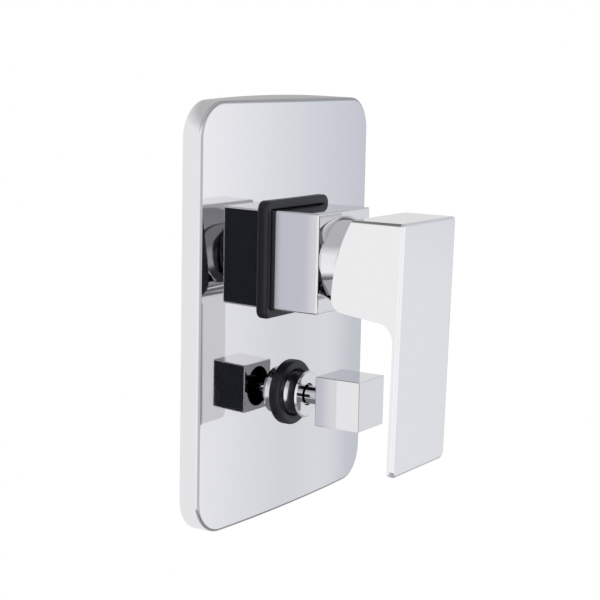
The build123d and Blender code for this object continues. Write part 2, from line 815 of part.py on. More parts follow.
# The rod carries the plunger behind and the knob in front.
rod_end_back = plunger_back + plunger_stack + plunger_nut_thickness + rod_end_spare
with BuildPart() as diverter_rod:
    with BuildSketch(diverter_plane):
        with BuildLine():
            Polyline(
                (0, -knob_back_front - knob_bore_depth),
                (rod_radius, -knob_back_front - knob_bore_depth),
                (rod_radius, plunger_back),
                (rod_end_radius, plunger_back),
                (rod_end_radius, rod_end_back),
                (0, rod_end_back),
                close=True,
            )
        make_face()
        for ring_front in rod_ring_fronts:
            with Locations((rod_radius, -ring_front)):
                Rectangle(2 * groove_depth, 2 * groove_half_width, mode=Mode.SUBTRACT)
    revolve(axis=diverter_axis)

with BuildPart() as rod_o_rings:
    with BuildSketch(diverter_plane):
        for ring_front in rod_ring_fronts:
            ring_profile(rod_radius, -ring_front)
    revolve(axis=diverter_axis)

with BuildPart() as plunger_disc:
    with BuildSketch(Plane.XZ.offset(-plunger_back - washer_thickness - plunger_thickness)):
        with Locations((0, diverter_z)):
            Circle(washer_radius)
            Circle(rod_end_radius, mode=Mode.SUBTRACT)
    extrude(amount=plunger_thickness)

with BuildPart() as plunger_washers:
    for washer_back in (plunger_back + washer_thickness, plunger_back + plunger_stack):
        with BuildSketch(Plane.XZ.offset(-washer_back)):
            with Locations((0, diverter_z)):
                Circle(washer_radius)
                Circle(rod_end_radius, mode=Mode.SUBTRACT)
        extrude(amount=washer_thickness)

with BuildPart() as plunger_nut:
    with BuildSketch(Plane.XZ.offset(-plunger_back - plunger_stack - plunger_nut_thickness)):
        with Locations((0, diverter_z)):
            RegularPolygon(plunger_nut_radius, 6)
            Circle(rod_end_radius, mode=Mode.SUBTRACT)
    extrude(amount=plunger_nut_thickness)

# The cube knob, hollow behind, with the rod's bore and a screw from below.
knob_screw_front = knob_back_front + knob_recess_depth + (knob_bore_depth - knob_recess_depth) / 2
knob_bottom_z = diverter_z - knob_side / 2
with BuildPart() as diverter_knob:
    with BuildSketch(Plane.XZ.offset(knob_back_front)):
        with Locations((0, diverter_z)):
            Rectangle(knob_side, knob_side)
    extrude(amount=knob_depth)
    fillet(diverter_knob.edges(), radius=knob_edge)
    with BuildSketch(Plane.XZ.offset(knob_back_front)):
        with Locations((0, diverter_z)):
            Circle(knob_recess_radius)
    extrude(amount=knob_recess_depth, mode=Mode.SUBTRACT)
    with BuildSketch(Plane.XZ.offset(knob_back_front)):
        with Locations((0, diverter_z)):
            Circle(rod_radius)
    extrude(amount=knob_bore_depth, mode=Mode.SUBTRACT)
    with BuildSketch(Plane.XY.offset(knob_bottom_z)):
        with Locations((0, -knob_screw_front)):
            Circle(knob_screw_radius)
    extrude(amount=knob_side / 2, mode=Mode.SUBTRACT)

with BuildPart() as knob_grub_screw:
    with BuildSketch(Plane.XY.offset(diverter_z - rod_radius - knob_screw_length)):
        with Locations((0, -knob_screw_front)):
            Circle(knob_screw_radius)
    extrude(amount=knob_screw_length)
    with BuildSketch(Plane.XY.offset(diverter_z - rod_radius - knob_screw_length)):
        with Locations((0, -knob_screw_front)):
            RegularPolygon(knob_key_radius, 6)
    extrude(amount=hex_key_depth, mode=Mode.SUBTRACT)

pieces = {
    "valve_body": valve_body,
    "cartridge_base": cartridge_base,
    "cartridge_seals": cartridge_seals,
    "fixed_disc": fixed_disc,
    "cartridge_housing": cartridge_housing,
    "cartridge_nut": cartridge_nut,
    "dome_cap": dome_cap,
    "square_sleeve": square_sleeve,
    "sleeve_gasket": sleeve_gasket,
    "cover_plate": cover_plate,
    "plate_foam_seal": plate_foam_seal,
    "diverter_bush": diverter_bush,
    "diverter_seal": diverter_seal,
    "cartridge_rotor": cartridge_rotor,
    "rotor_o_ring": rotor_o_ring,
    "pivot_pin": pivot_pin,
    "moving_disc": moving_disc,
    "disc_carrier": disc_carrier,
    "cartridge_spindle": cartridge_spindle,
    "lever_handle": lever_handle,
    "handle_grub_screw": handle_grub_screw,
    "screw_cover": screw_cover,
    "diverter_rod": diverter_rod,
    "rod_o_rings": rod_o_rings,
    "plunger_disc": plunger_disc,
    "plunger_washers": plunger_washers,
    "plunger_nut": plunger_nut,
    "diverter_knob": diverter_knob,
    "knob_grub_screw": knob_grub_screw,
}
for name, piece in pieces.items():
    piece.part.label = name
    export_step(piece.part, f"parts/{name}.step")
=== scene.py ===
# %% [markdown]
# A concealed shower mixer in polished chrome.
# The imported model holds every piece at its real size. This lesson dresses it: the plate and the
# dome, two large mirror surfaces, and the gasket and the seal are computed again as smooth grids,
# every finish is a node material, and the studio is arranged so that the chrome has something to
# reflect.

import json

import bmesh
import bpy
import numpy as np
from mathutils import Matrix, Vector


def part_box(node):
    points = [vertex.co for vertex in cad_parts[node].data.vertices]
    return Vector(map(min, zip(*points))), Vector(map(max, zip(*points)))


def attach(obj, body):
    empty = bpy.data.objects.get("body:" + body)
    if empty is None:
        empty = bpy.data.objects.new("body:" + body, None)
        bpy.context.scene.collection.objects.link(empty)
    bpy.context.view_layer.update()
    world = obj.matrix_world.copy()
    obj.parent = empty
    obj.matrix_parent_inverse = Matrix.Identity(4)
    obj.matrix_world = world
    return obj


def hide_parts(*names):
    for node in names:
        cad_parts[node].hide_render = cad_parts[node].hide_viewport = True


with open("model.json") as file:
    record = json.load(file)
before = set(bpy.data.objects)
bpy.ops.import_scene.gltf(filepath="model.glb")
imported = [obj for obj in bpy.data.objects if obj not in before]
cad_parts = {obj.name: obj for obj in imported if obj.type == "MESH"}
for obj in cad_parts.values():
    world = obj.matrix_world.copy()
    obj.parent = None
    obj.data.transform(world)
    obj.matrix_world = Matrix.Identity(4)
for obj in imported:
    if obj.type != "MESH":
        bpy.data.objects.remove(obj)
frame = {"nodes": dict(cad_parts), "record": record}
nodes = frame["nodes"]
scene = bpy.context.scene
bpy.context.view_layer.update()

# %% [markdown]
# The camera comes first. It stands well to the left of the plate and a little above it, close
# enough for the perspective to be plain: the plate's far edge is shorter than its near one.
# Azimuth is measured from straight in front, elevation above the horizon, and the roll turns the
# frame clockwise by about a degree.

# %% Camera
MM = 0.001
camera_azimuth = np.radians(-57.93)
camera_elevation = np.radians(8.8)
camera_roll = np.radians(1.19)
camera_distance = 698.66 * MM
camera_side_shift = 4.56 * MM
camera_up_shift = 2.45 * MM
camera_target = np.array([0.0, -10.0, 0.0]) * MM
sensor_width = 36.0
focal_pixels = 1590.83
frame_pixels = 600


def unit(vector):
    """The vector divided by its own length."""
    return vector / np.linalg.norm(vector)


backward = np.array([
    np.sin(camera_azimuth) * np.cos(camera_elevation),
    -np.cos(camera_azimuth) * np.cos(camera_elevation),
    np.sin(camera_elevation),
])
level_right = unit(np.cross(-backward, [0.0, 0.0, 1.0]))
level_up = np.cross(level_right, -backward)
image_right = np.cos(camera_roll) * level_right + np.sin(camera_roll) * level_up
image_up = np.cos(camera_roll) * level_up - np.sin(camera_roll) * level_right
camera_place = (
    camera_target
    + backward * camera_distance
    + level_right * camera_side_shift
    + level_up * camera_up_shift
)
camera_data = bpy.data.cameras.new("camera")
camera_data.sensor_width = sensor_width
camera_data.lens = focal_pixels * sensor_width / frame_pixels
camera = bpy.data.objects.new("camera", camera_data)
camera_axes = np.eye(4)
camera_axes[:3, 0] = image_right
camera_axes[:3, 1] = image_up
camera_axes[:3, 2] = backward
camera_axes[:3, 3] = camera_place
camera.matrix_world = Matrix(camera_axes.tolist())
scene.collection.objects.link(camera)
scene.camera = camera
print("camera at", camera_place.round(4), "lens", round(camera_data.lens, 2))

# %% [markdown]
# Sizes that the finer surfaces need. They are the part's own, in metres. Where a size can be read
# from the frame, it is.

# %% Sizes
plate_low, plate_high = (np.array(corner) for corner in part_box("cover_plate"))
plate_half_width = plate_high[0]
plate_half_height = plate_high[2]
plate_corner = 15.0 * MM
plate_bow = 2.2 * MM
plate_crown = 2.6 * MM
face_drop = 1.4 * MM
face_bow = 0.1 * MM
plate_edge_depth = -plate_low[1] - plate_crown
plate_wall = 2.0 * MM
plate_rounding = 1.5 * MM
plate_inner_rounding = 0.8 * MM
sleeve_low, sleeve_high = (np.array(corner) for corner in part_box("square_sleeve"))
mixer_z = (sleeve_low[2] + sleeve_high[2]) / 2
sleeve_half = sleeve_high[0]
knob_low, knob_high = (np.array(corner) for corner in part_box("diverter_knob"))
diverter_z = (knob_low[2] + knob_high[2]) / 2
print("axes at", round(mixer_z, 5), round(diverter_z, 5))

# %% [markdown]
# Most pieces here are rings carried along an axis. A ring is a rounded rectangle, and its limit,
# a corner as large as the half width, is a circle. So one function makes the rings of the plate and
# the gasket, and the gasket's corner shrinks from its outer edge to the sleeve.

# %% Rings
crease_angle = np.radians(32.0)
same_point = 1e-7
print("creases stay sharp above", round(np.degrees(crease_angle)), "degrees")


def rounded_ring(angles, half_width, half_height, corner):
    """Where rays from the centre at the given angles meet a rounded rectangle.

    A ray meets the upright side if it does so below the corner's start, the level side likewise,
    and otherwise the corner's circle, from the quadratic for a ray and a circle.
    """
    across, along = np.abs(np.cos(angles)), np.abs(np.sin(angles))
    centre_x, centre_z = half_width - corner, half_height - corner
    with np.errstate(divide="ignore"):
        to_side = half_width / across
        to_end = half_height / along
    toward = across * centre_x + along * centre_z
    root = np.maximum(toward**2 - (centre_x**2 + centre_z**2 - corner**2), 0.0)
    reach = toward + np.sqrt(root)
    reach = np.where(to_side * along <= centre_z, to_side, reach)
    reach = np.where(to_end * across <= centre_x, to_end, reach)
    return np.stack([reach * np.cos(angles), reach * np.sin(angles)], axis=-1)


def ring_angles(half_width, half_height, corner, steps):
    """Angles that put steps points on each corner arc and as many along each side."""
    turn = np.linspace(0.0, np.pi / 2, steps)
    arc_x = half_width - corner + corner * np.cos(turn)
    arc_z = half_height - corner + corner * np.sin(turn)
    side_z = np.linspace(0.0, half_height - corner, steps, endpoint=False)
    side_x = np.linspace(half_width - corner, 0.0, steps + 1)[1:]
    first = np.concatenate([
        np.arctan2(side_z, half_width),
        np.arctan2(arc_z, arc_x),
        np.arctan2(half_height, side_x),
    ])
    quarter = np.unique(first.round(9))[:-1]
    half = np.concatenate([quarter, np.pi - np.append(quarter[1:], np.pi / 2)[::-1]])
    return np.concatenate([half, half + np.pi])


def mesh_object(name, points, faces):
    """A mesh object at the origin from an array of points and lists of point numbers."""
    mesh = bpy.data.meshes.new(name)
    mesh.from_pydata(points.tolist(), [], faces)
    mesh.update()
    piece = bpy.data.objects.new(name, mesh)
    scene.collection.objects.link(piece)
    return piece


def ring_stack(name, rings, closed):
    """A skin over rings of equal point counts, given as an array rings x points x 3.

    closed joins the last ring to the first, as on a tube's wall. Otherwise each end ring is
    filled by a fan round its own centre.
    """
    count, points = rings.shape[:2]
    vertices = rings.reshape(-1, 3)
    step = np.arange(points)
    after = np.roll(step, -1)
    last = count if closed else count - 1
    row = np.arange(last)[:, None] * points
    row_after = (np.arange(last)[:, None] + 1) % count * points
    quads = np.stack([row + step, row + after, row_after + after, row_after + step], axis=-1)
    faces = quads.reshape(-1, 4).tolist()
    if not closed:
        centres = np.stack([rings[0].mean(axis=0), rings[-1].mean(axis=0)])
        vertices = np.vstack([vertices, centres])
        start, end = len(vertices) - 2, len(vertices) - 1
        faces += np.stack([after, step, np.full(points, start)], axis=-1).tolist()
        tail = (count - 1) * points
        faces += np.stack([step + tail, after + tail, np.full(points, end)], axis=-1).tolist()
    return mesh_object(name, vertices, faces)


def outward(piece):
    """Merges doubled points, turns the faces outwards and shades them smooth up to the creases."""
    mesh = piece.data
    work = bmesh.new()
    work.from_mesh(mesh)
    bmesh.ops.remove_doubles(work, verts=work.verts, dist=same_point)
    bmesh.ops.dissolve_degenerate(work, edges=work.edges, dist=same_point)
    bmesh.ops.recalc_face_normals(work, faces=work.faces)
    work.to_mesh(mesh)
    work.free()
    mesh.shade_smooth()
    mesh.set_sharp_from_angle(angle=crease_angle)
    shading = piece.modifiers.new("flat faces stay flat", "WEIGHTED_NORMAL")
    shading.keep_sharp = True
    shading.weight = 100
    return piece


def quarter_round(steps):
    """Two shares that run from 0 to 1 round a quarter circle: how far in, and how far along."""
    turn = np.linspace(0.0, np.pi / 2, steps)
    return 1.0 - np.cos(turn), np.sin(turn)


# %% [markdown]
# On the real plate a punch makes the two holes after the pressing. Booleans do the same here, since
# a ring that runs round the plate can't run round a hole too. The result replaces the mesh at once,
# so no cutter is left in the scene.

# %% Cutting
def cut(piece, cutter):
    """Takes the cutter's volume out of the piece and deletes the cutter."""
    boolean = piece.modifiers.new("cut", "BOOLEAN")
    boolean.operation = "DIFFERENCE"
    boolean.solver = "EXACT"
    boolean.object = cutter
    bpy.context.view_layer.update()
    shape = piece.evaluated_get(bpy.context.evaluated_depsgraph_get())
    result = bpy.data.meshes.new_from_object(shape)
    piece.modifiers.remove(boolean)
    piece.data = result
    bpy.data.objects.remove(cutter)


def prism(name, outline, near, far):
    """A prism along Y: the same ring at two depths."""
    rings = np.stack([
        np.column_stack([outline[:, 0], np.full(len(outline), y), outline[:, 1]])
        for y in (near, far)
    ])
    return ring_stack(name, rings, closed=False)


# %% [markdown]
# The cover plate is a pressed shell. Seen from the front its ends are bowed at the back and almost
# straight at the face, so the rim leans a little in the middle of each end. The face bulges from
# side to side, which bends every reflection in it. A bevelled box would give the outline, but a
# mirror shows each facet of a coarse mesh, so the face is computed in fine steps. The rings below
# run from the middle of the face, over the rounded edge, down the rim, and back along the inside.
# The first steps of the rounding are marked as the edge, where the photographed plate has a thin grey
# line. That line is a reflection, and here it is a painted reflection: a darker colour of the metal.
# The line may be duller polish or a reflection.

# %% Cover plate
ring_steps = 14
face_steps = 34
edge_steps = 10
# Steps of the rounding that get the painted reflection, a darker line.
painted_reflection_steps = 4
middle_share = 0.02
plate_turn = ring_angles(plate_half_width, plate_half_height, plate_corner, ring_steps)
plate_front = plate_edge_depth + plate_crown


def plate_ring(inset, share, drop, at_wall=False):
    """One ring of the plate, drawn in by the inset and scaled by the share.

    The face is a parabola across the width, and the ring lies on it, lowered by the drop. With
    depth the ends go from bowed to straight and draw in, both in proportion to the depth.
    """
    outline = rounded_ring(
        plate_turn, plate_half_width - inset, plate_half_height - inset, plate_corner - inset
    ) * share
    x, z = outline[:, 0], outline[:, 1]
    across = (x / plate_half_width) ** 2
    depth = np.zeros_like(x) if at_wall else plate_edge_depth + plate_crown * (1.0 - across) - drop
    forward = depth / plate_front
    bow = plate_bow + (face_bow - plate_bow) * forward
    lowered = (bow * across + face_drop * forward) / plate_half_height
    return np.column_stack([x, -depth, z * (1.0 - lowered)])


def plate_face_rings(inset, rounding, drop, shares):
    """The face from its middle outwards, then its rounded edge."""
    inwards, outwards = quarter_round(edge_steps)
    face = [plate_ring(inset + rounding, share, drop) for share in shares]
    edge = [
        plate_ring(inset + rounding * (1.0 - out), 1.0, drop + rounding * down)
        for down, out in zip(inwards, outwards)
    ]
    return face + edge[1:]


face_shares = np.linspace(middle_share, 1.0, face_steps)
outer_rings = plate_face_rings(0.0, plate_rounding, 0.0, face_shares)
inner_rings = plate_face_rings(plate_wall, plate_inner_rounding, plate_wall, face_shares)
back_edge = [plate_ring(0.0, 1.0, 0.0, at_wall=True), plate_ring(plate_wall, 1.0, 0.0, at_wall=True)]
plate_rings = np.stack(outer_rings + back_edge + inner_rings[::-1])
plate = ring_stack("plate_shell", plate_rings, closed=False)
# The painted reflection's rings, marked 1 in the edge attribute.
painted_reflection_rings = slice(face_steps, face_steps + painted_reflection_steps)
painted_reflection_share = np.zeros(plate_rings.shape[:2])
painted_reflection_share[painted_reflection_rings] = 1.0
painted_reflection_share = np.append(painted_reflection_share.ravel(), [0.0, 0.0])
plate.data.attributes.new("edge", "FLOAT", "POINT").data.foreach_set("value", painted_reflection_share)
hole_clearance = 0.3 * MM
diverter_hole = 11.2 * MM
hole_steps = 96
cut_front = -20 * MM
cut_back = -5 * MM
square_turn = np.radians([45.0, 135.0, 225.0, 315.0])
square_hole = np.column_stack([np.cos(square_turn), np.sin(square_turn)])
square_hole = square_hole * (sleeve_half + hole_clearance) * np.sqrt(2.0) + [0.0, mixer_z]
round_turn = np.linspace(0.0, 2 * np.pi, hole_steps, endpoint=False)
round_hole = np.column_stack([np.cos(round_turn), np.sin(round_turn)]) * diverter_hole
round_hole = round_hole + [0.0, diverter_z]
outward(plate)
cut(plate, outward(prism("square cutter", square_hole, cut_front, cut_back)))
cut(plate, outward(prism("round cutter", round_hole, cut_front, cut_back)))
outward(plate)
print("plate faces", len(plate.data.polygons))

# %% [markdown]
# The moulded rubber gasket grips the sleeve and lies on the plate's crowned face. It is a soft
# strip, rounded on both sides. A bevelled frame could stand for it, but its back has to follow the
# crown. So rounded squares carry its section: each point of the section says how far in from the
# outline a ring lies, and how far in front of the wall.

# %% Sleeve gasket
gasket_low, gasket_high = (np.array(corner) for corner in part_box("sleeve_gasket"))
gasket_half = gasket_high[0]
gasket_front = -gasket_low[1]
gasket_rounding = 1.3 * MM
gasket_corner = 3.5 * MM
sleeve_corner = 0.8 * MM
gasket_turn_steps = 9
gasket_round_steps = 9
gasket_width = gasket_half - sleeve_half


def plate_face(x):
    """How far the crowned face stands in front of the wall, a parabola across the width."""
    return plate_edge_depth + plate_crown * (1.0 - (x / plate_half_width) ** 2)


def gasket_ring(inset, front):
    """One ring of the gasket. Where front is None the ring lies on the plate's face."""
    corner = gasket_corner + (sleeve_corner - gasket_corner) * inset / gasket_width
    half = gasket_half - inset
    turn = ring_angles(gasket_half, gasket_half, gasket_corner, gasket_turn_steps)
    x, z = rounded_ring(turn, half, half, corner).T
    y = -plate_face(x) if front is None else np.full_like(x, -front)
    return np.column_stack([x, y, z + mixer_z])


down, out = quarter_round(gasket_round_steps)
groove_start = gasket_width - gasket_rounding
section = [(0.0, None)]
section += list(zip(gasket_rounding * (1.0 - out[::-1]), gasket_front - gasket_rounding * down[::-1]))
section += list(zip(groove_start + gasket_rounding * out, gasket_front - gasket_rounding * down))
section += [(gasket_width, None)]
gasket = ring_stack("gasket", np.stack([gasket_ring(*point) for point in section]), closed=True)
outward(gasket)
print("gasket rings", len(section))

# %% [markdown]
# The seal round the diverter is moulded rubber and the domed cap turned brass, plated with chrome.
# Both are a section carried once round an axis. A Screw modifier would do that as well, but the
# seal's back follows the plate, so its ring there isn't flat. The dome is a part of a sphere about
# the lever's pivot, which is what lets the handle roll over it.

# %% Turned pieces
round_steps = 144
lip_steps = 7
seal_edge_steps = 11
dome_steps = 40
dome_inner_steps = 24


def turned(name, section, centre_z):
    """The section, pairs of radius and distance from the wall, carried round an axis along Y.

    Where the distance is None the ring lies on the plate's face.
    """
    angle = np.linspace(0.0, 2 * np.pi, round_steps, endpoint=False)
    rings = []
    for radius, front in section:
        x = radius * np.cos(angle)
        y = -plate_face(x) if front is None else np.full_like(x, -front)
        rings.append(np.column_stack([x, y, centre_z + radius * np.sin(angle)]))
    return outward(ring_stack(name, np.stack(rings), closed=True))


def arc(centre_radius, centre_front, radius, start, end, steps):
    """Points of a circle's arc in the section, its angles in degrees forward of the axis's square."""
    turn = np.radians(np.linspace(start, end, steps))
    return list(zip(centre_radius + radius * np.cos(turn), centre_front + radius * np.sin(turn)))


seal_low, seal_high = (np.array(corner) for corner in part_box("diverter_seal"))
seal_radius = seal_high[0]
seal_front = -seal_low[1]
seal_rounding = 1.4 * MM
seal_lip = 0.8 * MM
recess_radius = 10.6 * MM
recess_front = 13.0 * MM
neck_radius = 6.5 * MM
lip_centre = (recess_radius + seal_lip, seal_front - seal_lip)
seal_edge_centre = (seal_radius - seal_rounding, seal_front - seal_rounding)
seal = turned("seal", [
    (neck_radius, recess_front),
    (recess_radius, recess_front),
    *arc(*lip_centre, seal_lip, 180.0, 90.0, lip_steps),
    *arc(*seal_edge_centre, seal_rounding, 90.0, 0.0, seal_edge_steps),
    (seal_radius, None),
    (diverter_hole, None),
    (diverter_hole, -seal_high[1]),
    (neck_radius, -seal_high[1]),
], diverter_z)
pivot_front = 33.0 * MM
dome_radius = 19.6 * MM
dome_inner = 17.8 * MM
dome_opening = 11.5 * MM
skirt_inner = 15.5 * MM
skirt_outer = 17.3 * MM
sleeve_front = -sleeve_low[1]
skirt_back = -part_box("dome_cap")[1][1]
base_angle = np.degrees(np.arcsin((sleeve_front - pivot_front) / dome_radius))
rim_angle = np.degrees(np.arccos(dome_opening / dome_radius))
inner_rim_angle = np.degrees(np.arccos(dome_opening / dome_inner))
inner_base_angle = np.degrees(np.arccos(skirt_inner / dome_inner))
dome = turned("dome", [
    (skirt_inner, skirt_back),
    (skirt_outer, skirt_back),
    (skirt_outer, sleeve_front),
    *arc(0.0, pivot_front, dome_radius, base_angle, rim_angle, dome_steps),
    *arc(0.0, pivot_front, dome_inner, inner_rim_angle, inner_base_angle, dome_inner_steps),
], mixer_z)
print("seal faces", len(seal.data.polygons), "dome faces", len(dome.data.polygons))

# %% [markdown]
# The trim is polished chrome over brass, the valve body bare cast brass, and the seals are rubber
# and foam. Every finish is built from nodes: a fine noise in object coordinates moves the roughness
# a little and lifts the surface by microns, as polishing, moulding or casting leaves it. An even
# roughness would be simpler, but it makes metal look like plastic. The handle has a paler and
# slightly softer copy of the chrome than the rest, as in the photograph. Its paleness is painted
# light, a lit copy of the same chrome.

# %% Finishes
chrome_colour = (0.90, 0.89, 0.91)
# A darker chrome colour: a painted reflection on the plate's edge.
painted_reflection_colour = (0.50, 0.51, 0.53)
noise_low = 0.3
noise_high = 0.7


def finish(name, colour, metallic, rough, rough_change, grain_size, lift, cells=False, painted_reflection=None):
    """A principled material whose roughness and surface follow a noise of the given grain size.

    Where the mesh's own attribute edge is 1, the painted reflection's darker colour takes the base
    colour's place.
    """
    material = bpy.data.materials.new(name)
    material.use_nodes = True
    tree = material.node_tree
    shader = tree.nodes["Principled BSDF"]
    shader.inputs["Base Color"].default_value = (*colour, 1.0)
    shader.inputs["Metallic"].default_value = metallic
    place = tree.nodes.new("ShaderNodeTexCoord")
    grain = tree.nodes.new("ShaderNodeTexVoronoi" if cells else "ShaderNodeTexNoise")
    grain.inputs["Scale"].default_value = 1.0 / grain_size
    tree.links.new(place.outputs["Object"], grain.inputs["Vector"])
    height = grain.outputs["Distance"] if cells else grain.outputs["Fac"]
    gloss = tree.nodes.new("ShaderNodeMapRange")
    gloss.inputs["From Min"].default_value = noise_low
    gloss.inputs["From Max"].default_value = noise_high
    gloss.inputs["To Min"].default_value = rough - rough_change
    gloss.inputs["To Max"].default_value = rough + rough_change
    tree.links.new(height, gloss.inputs["Value"])
    tree.links.new(gloss.outputs["Result"], shader.inputs["Roughness"])
    bump = tree.nodes.new("ShaderNodeBump")
    bump.inputs["Strength"].default_value = 1.0
    bump.inputs["Distance"].default_value = lift
    tree.links.new(height, bump.inputs["Height"])
    tree.links.new(bump.outputs["Normal"], shader.inputs["Normal"])
    # The painted reflection: a darker colour where the edge attribute is 1.
    if painted_reflection:
        where = tree.nodes.new("ShaderNodeAttribute")
        where.attribute_name = "edge"
        colours = tree.nodes.new("ShaderNodeMix")
        colours.data_type = "RGBA"
        colours.inputs["A"].default_value = (*colour, 1.0)
        colours.inputs["B"].default_value = (*painted_reflection, 1.0)
        tree.links.new(where.outputs["Fac"], colours.inputs["Factor"])
        tree.links.new(colours.outputs["Result"], shader.inputs["Base Color"])
    return material


finishes = {
    "chrome": finish("chrome", chrome_colour, 1.0, 0.04, 0.015, 9 * MM, 0.0004 * MM),
    "brass": finish("brass", (0.78, 0.58, 0.30), 1.0, 0.34, 0.10, 0.7 * MM, 0.03 * MM),
    "rubber": finish("rubber", (0.010, 0.010, 0.016), 0.0, 0.40, 0.06, 0.4 * MM, 0.006 * MM),
    "foam": finish("foam", (0.07, 0.07, 0.075), 0.0, 0.9, 0.05, 0.5 * MM, 0.08 * MM, cells=True),
    "white_plastic": finish("white plastic", (0.80, 0.80, 0.78), 0.0, 0.42, 0.05, 0.5 * MM, 0.004 * MM),
    "grey_plastic": finish("grey plastic", (0.45, 0.46, 0.48), 0.0, 0.28, 0.05, 0.6 * MM, 0.003 * MM),
    "ceramic": finish("ceramic", (0.88, 0.87, 0.85), 0.0, 0.14, 0.04, 0.8 * MM, 0.001 * MM),
    "steel": finish("steel", (0.60, 0.60, 0.62), 1.0, 0.28, 0.06, 0.5 * MM, 0.004 * MM),
}
slot_of = {row["node"]: row["material_slot"] for row in frame["record"]["subparts"]}
for node_name, node in nodes.items():
    node.data.materials.clear()
    node.data.materials.append(finishes[slot_of[node_name]])
# The handle's chrome is a paler copy: painted light.
nodes["lever_handle"].data.materials[0] = finish(
    "handle chrome painted paler", (0.97, 0.965, 0.98), 1.0, 0.06, 0.02, 7 * MM, 0.0005 * MM
)
print(len(finishes), "finishes on", len(nodes), "packed pieces")


# %% [markdown]
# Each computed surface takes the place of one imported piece, moves with the same body and carries
# that piece's finish.

# %% Handing a surface over
def stand_for(piece, node_name, body):
    """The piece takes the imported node's place, its body's motion and its finish."""
    if not piece.data.materials:
        piece.data.materials.append(finishes[slot_of[node_name]])
    piece.name = node_name + "_surface"
    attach(piece, body)
    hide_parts(node_name)


# The plate's chrome carries the painted reflection on its edge.
plate.data.materials.clear()
plate.data.materials.append(finish(
    "plate chrome", chrome_colour, 1.0, 0.04, 0.015, 9 * MM, 0.0004 * MM, painted_reflection=painted_reflection_colour
))
stand_for(plate, "cover_plate", "root")
stand_for(dome, "dome_cap", "root")
stand_for(gasket, "sleeve_gasket", "root")
stand_for(seal, "diverter_seal", "root")
print("four computed surfaces stand for their packed pieces")

# %% [markdown]
# A photograph of chrome is a photograph of the studio. Directions are written here as a
# photographer would say them: degrees to the right of straight in front, and degrees up. A colour
# ramp holds the brightness of the walls once round, and another the lower part of the same walls,
# where the lights stand. Boxes of lamps could do it too, but a ramp gives the soft changes between
# them that polished chrome shows as its shading.

# %% Directions
def math_node(tree, operation, first, second=None):
    """One arithmetic step. Either side may be a socket or a number."""
    node = tree.nodes.new("ShaderNodeMath")
    node.operation = operation
    for socket, value in zip(node.inputs, (first, second)):
        if isinstance(value, (int, float)):
            socket.default_value = value
        elif value is not None:
            tree.links.new(value, socket)
    return node.outputs["Value"]


def spread(tree, value, low, high, at_low, at_high):
    """The value's place between low and high, carried over to the other pair and held there."""
    node = tree.nodes.new("ShaderNodeMapRange")
    tree.links.new(value, node.inputs["Value"])
    for name, number in zip(("From Min", "From Max", "To Min", "To Max"), (low, high, at_low, at_high)):
        node.inputs[name].default_value = number
    return node.outputs["Result"]


world = bpy.data.worlds.new("studio")
world.use_nodes = True
scene.world = world
sky = world.node_tree
sky.nodes.clear()
direction = sky.nodes.new("ShaderNodeTexCoord").outputs["Generated"]
axes = sky.nodes.new("ShaderNodeSeparateXYZ")
sky.links.new(direction, axes.inputs["Vector"])
forward = math_node(sky, "MULTIPLY", axes.outputs["Y"], -1.0)
turn = math_node(sky, "ARCTAN2", axes.outputs["X"], forward)
degrees_right = math_node(sky, "DEGREES", turn)
degrees_up = math_node(sky, "DEGREES", math_node(sky, "ARCSINE", axes.outputs["Z"]))
looks = sky.nodes.new("ShaderNodeLightPath")
print("studio directions ready")

# %% [markdown]
# Nothing is known of the real studio but what the chrome shows. The walls are white and slightly
# cool. They get duller far to the right, which gives the plate its shading from left to right. The
# lower walls have stops of their own, because the lower half of the photographed plate is shaded
# differently. The ceiling is a middle grey and the ground dark, as the tops and the undersides of
# the pieces show. The levels were tuned until the faces in the render came close to the
# photograph's, so they are a fit and not a record of the real lamps.

# %% Studio walls
lower_wall_top = (-9.0, -5.0)
ceiling_start = (16.0, 40.0)
ground_start = (-40.0, -26.0)


def tint(level, lavender=0.0):
    """A grey of the given linear level, cooled towards lavender by a share."""
    return (level * (1.0 - lavender), level * (1.0 - 0.65 * lavender), level)


def walls(stops):
    """A colour ramp once round the studio, from pairs of degrees to the right and colour."""
    share = spread(sky, degrees_right, -180.0, 180.0, 0.0, 1.0)
    node = sky.nodes.new("ShaderNodeValToRGB")
    sky.links.new(share, node.inputs["Fac"])
    elements = node.color_ramp.elements
    elements.remove(elements[1])
    elements[0].color = (*stops[0][1], 1.0)
    elements[0].position = (stops[0][0] + 180.0) / 360.0
    for degrees, colour in stops[1:]:
        elements.new((degrees + 180.0) / 360.0).color = (*colour, 1.0)
    return node.outputs["Color"]


def blend(tree, share, first, second):
    """The first colour where the share is 0, the second where it is 1."""
    node = tree.nodes.new("ShaderNodeMix")
    node.data_type = "RGBA"
    tree.links.new(share, node.inputs["Factor"])
    for name, colour in (("A", first), ("B", second)):
        if isinstance(colour, tuple):
            node.inputs[name].default_value = (*colour, 1.0)
        else:
            tree.links.new(colour, node.inputs[name])
    return node.outputs["Result"]


